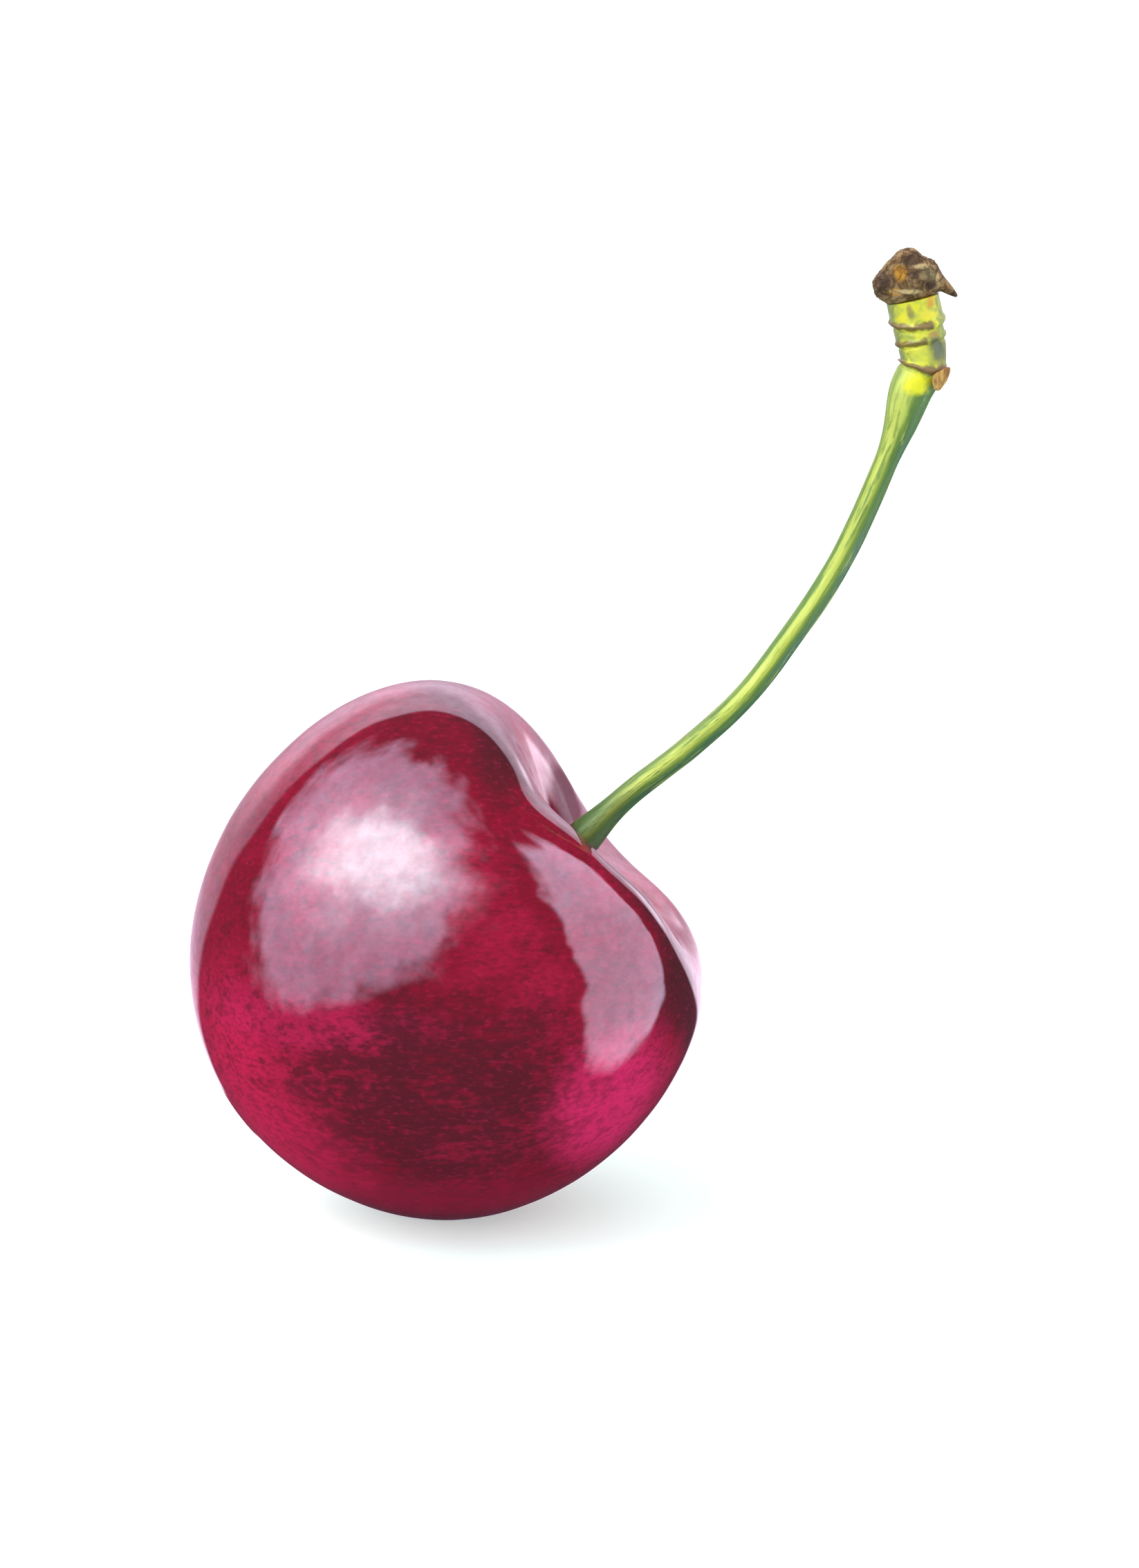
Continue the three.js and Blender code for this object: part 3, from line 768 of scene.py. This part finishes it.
def studio_world():
    world = bpy.data.worlds.new("pale_studio")
    bpy.context.scene.world = world
    world.use_nodes = True
    tree = world.node_tree
    tree.nodes.clear()
    panel_tree = panel_group()
    towards = add(tree, "ShaderNodeTexCoord").outputs["Generated"]
    split = add(tree, "ShaderNodeSeparateXYZ", {0: towards}).outputs
    rightward, up = split["X"], split["Z"]
    links = {"Vector": towards, "Scale": 5.0, "Detail": 4.0}
    cloud = add(tree, "ShaderNodeTexNoise", links).outputs["Color"]
    shift = scaled(tree, vector_maths(tree, 'SUBTRACT', cloud, (0.5, 0.5, 0.5)), 0.35)
    cloudy = vector_maths(tree, 'ADD', towards, shift)

    def panel(source, azimuth, elevation, half_width, half_height, squareness, softness, roll=0.0):
        """A panel's mask. Its half sizes are the sines of half the angles that it spans."""
        middle = direction(azimuth, elevation)
        across = direction(azimuth + 90.0, 0.0)
        upward = middle.cross(across)
        turned = Matrix.Rotation(math.radians(roll), 3, middle)
        links = {"Direction": source, "Middle": middle, "Across": turned @ across / half_width,
                 "Upward": turned @ upward / half_height, "Squareness": squareness,
                 "Softness": softness}
        return add(tree, "ShaderNodeGroup", links, node_tree=panel_tree).outputs["Mask"]

    grain = speckle(tree, towards, 9.0, 5.0, 0.65)
    light = (0.10, 0.05, 0.08)

    # A pale wall far behind, which the skin mirrors along its outline.
    back = panel(towards, 183, 15, 0.77, 0.59, 2.3, 0.03)
    middle_of_back = panel(towards, 186, 10, 0.56, 0.38, 2.0, 0.22)
    edge = blend(tree, ramp(tree, rightward, -0.6, 0.5), (1.2, 1.0, 1.35), (2.6, 2.1, 2.6))
    edge = blend(tree, ramp(tree, up, 0.45, 0.72), edge, (2.9, 2.5, 3.2))
    rise = ramp(tree, up, -0.05, 0.40)
    outline = blend(tree, rise, (0.88, 0.62, 0.80), (2.5, 1.95, 2.5))
    colour = blend(tree, middle_of_back, edge, outline)
    light = blend(tree, back, light, colour)

    # A small bright panel, which the far wall of the dimple mirrors.
    strip = panel(towards, 143, 8, 0.15, 0.12, 2.0, 0.4)
    light = blend(tree, strip, light, (4.8, 4.0, 4.9))

    # The key panel, high on the left, with two brighter cores.
    key = panel(cloudy, -51, 36, 0.68, 0.69, 3.0, 0.13, 14.0)
    colour = blend(tree, grain, (4.4, 3.6, 5.4), (6.0, 5.2, 7.4))
    light = blend(tree, key, light, colour)
    near_core = panel(cloudy, -44, 38, 0.56, 0.40, 2.0, 0.45)
    light = blend(tree, near_core, light, (8.0, 8.3, 10.8))
    core = panel(cloudy, -42, 40, 0.42, 0.23, 2.0, 0.45)
    light = blend(tree, core, light, (20.0, 21.0, 24.0))

    # The side panel, low on the right.
    calm = vector_maths(tree, 'ADD', towards, scaled(tree, shift, 0.5))
    side = panel(calm, 71, 7, 0.43, 0.74, 2.6, 0.06, 17.0)
    colour = blend(tree, ramp(tree, up, 0.7, 0.1), (8.6, 7.6, 10.5), (5.7, 4.9, 6.7))
    colour = blend(tree, maths(tree, 'MULTIPLY', grain, 0.3), colour, (5.6, 4.9, 6.9))
    light = blend(tree, side, light, colour)

    # The camera sees white, gloss mirrors the panels, and the rest is lit by a soft even sky.
    path = add(tree, "ShaderNodeLightPath").outputs
    white = (1.0, 1.0, 1.0, 1.0)
    seen = add(tree, "ShaderNodeBackground", {"Color": white, "Strength": 1.0}).outputs[0]
    mirrored = add(tree, "ShaderNodeBackground", {"Color": light, "Strength": 1.0}).outputs[0]
    sky = maths(tree, 'ADD', 0.54, maths(tree, 'MULTIPLY', maths(tree, 'MAXIMUM', up, 0.0), 0.75))
    warm_white = (1.0, 0.99, 0.98, 1.0)
    ambient = add(tree, "ShaderNodeBackground", {"Color": warm_white, "Strength": sky}).outputs[0]
    links = {0: path["Is Glossy Ray"], 1: ambient, 2: mirrored}
    shader = add(tree, "ShaderNodeMixShader", links).outputs[0]
    links = {0: path["Is Camera Ray"], 1: shader, 2: seen}
    shader = add(tree, "ShaderNodeMixShader", links).outputs[0]
    tree.links.new(shader, add(tree, "ShaderNodeOutputWorld").inputs["Surface"])
    world.cycles.sampling_method = 'NONE'


def studio_floor():
    bm = bmesh.new()
    bmesh.ops.create_grid(bm, x_segments=8, y_segments=8, size=3.0)
    mesh = bpy.data.meshes.new("pale_floor")
    bm.to_mesh(mesh)
    bm.free()
    floor = bpy.data.objects.new("pale_floor", mesh)
    bpy.context.scene.collection.objects.link(floor)
    material, tree, shader = new_material("pale_floor")
    place = add(tree, "ShaderNodeTexCoord").outputs["Object"]
    fibre = speckle(tree, place, 900.0, 3.0)
    colour = blend(tree, fibre, (0.75, 0.92, 0.905), (0.79, 0.96, 0.945))
    tree.links.new(colour, shader.inputs["Base Color"])
    shader.inputs["Roughness"].default_value = 1.0
    shader.inputs["Specular IOR Level"].default_value = 0.0

    # The floor glows a little for the camera alone, more on the left.
    seen = add(tree, "ShaderNodeLightPath").outputs["Is Camera Ray"]
    shader.inputs["Emission Color"].default_value = (0.90, 1.0, 0.98, 1.0)
    rightward = add(tree, "ShaderNodeSeparateXYZ", {0: place}).outputs["X"]
    glow = ramp(tree, rightward, -0.010, 0.002, 0.82, 0.43)
    tree.links.new(maths(tree, 'MULTIPLY', seen, glow), shader.inputs["Emission Strength"])
    mesh.materials.append(material)
    floor.visible_glossy = False


def studio_lamp():
    light = bpy.data.lights.new("soft_key", 'AREA')
    light.shape = 'DISK'
    light.size = 0.5
    light.energy = 1.15
    lamp = bpy.data.objects.new("soft_key", light)
    bpy.context.scene.collection.objects.link(lamp)
    aim = Vector((0.004, 0.0, 0.016))
    lamp.location = aim + direction(-70, 66) * 0.7
    lamp.rotation_euler = (aim - lamp.location).to_track_quat('-Z', 'Y').to_euler()
    lamp.visible_glossy = False
    lamp.visible_camera = False


# The camera's aim, its distance in millimetres and its height above the level in degrees.
CAMERA_AIM = Vector((6.566, 0.183, 22.533))
CAMERA_DISTANCE = 224.7
CAMERA_ELEVATION = 12


def studio_camera():
    camera = bpy.data.objects.new("camera", bpy.data.cameras.new("camera"))
    bpy.context.scene.collection.objects.link(camera)
    camera.data.lens = 100.0
    camera.data.sensor_width = 36.0
    camera.data.clip_start = 0.01
    aim = CAMERA_AIM * MM
    camera.location = aim + direction(0, CAMERA_ELEVATION) * CAMERA_DISTANCE * MM
    camera.rotation_euler = (aim - camera.location).to_track_quat('-Z', 'Y').to_euler()
    bpy.context.scene.camera = camera


make_fruit(crimson_skin())
make_stalk(green_bark())
make_spur_cap(brown_wood())
make_bract(dry_scale())
studio_world()
studio_floor()
studio_lamp()
studio_camera()
bpy.context.scene.view_settings.view_transform = 'Standard'
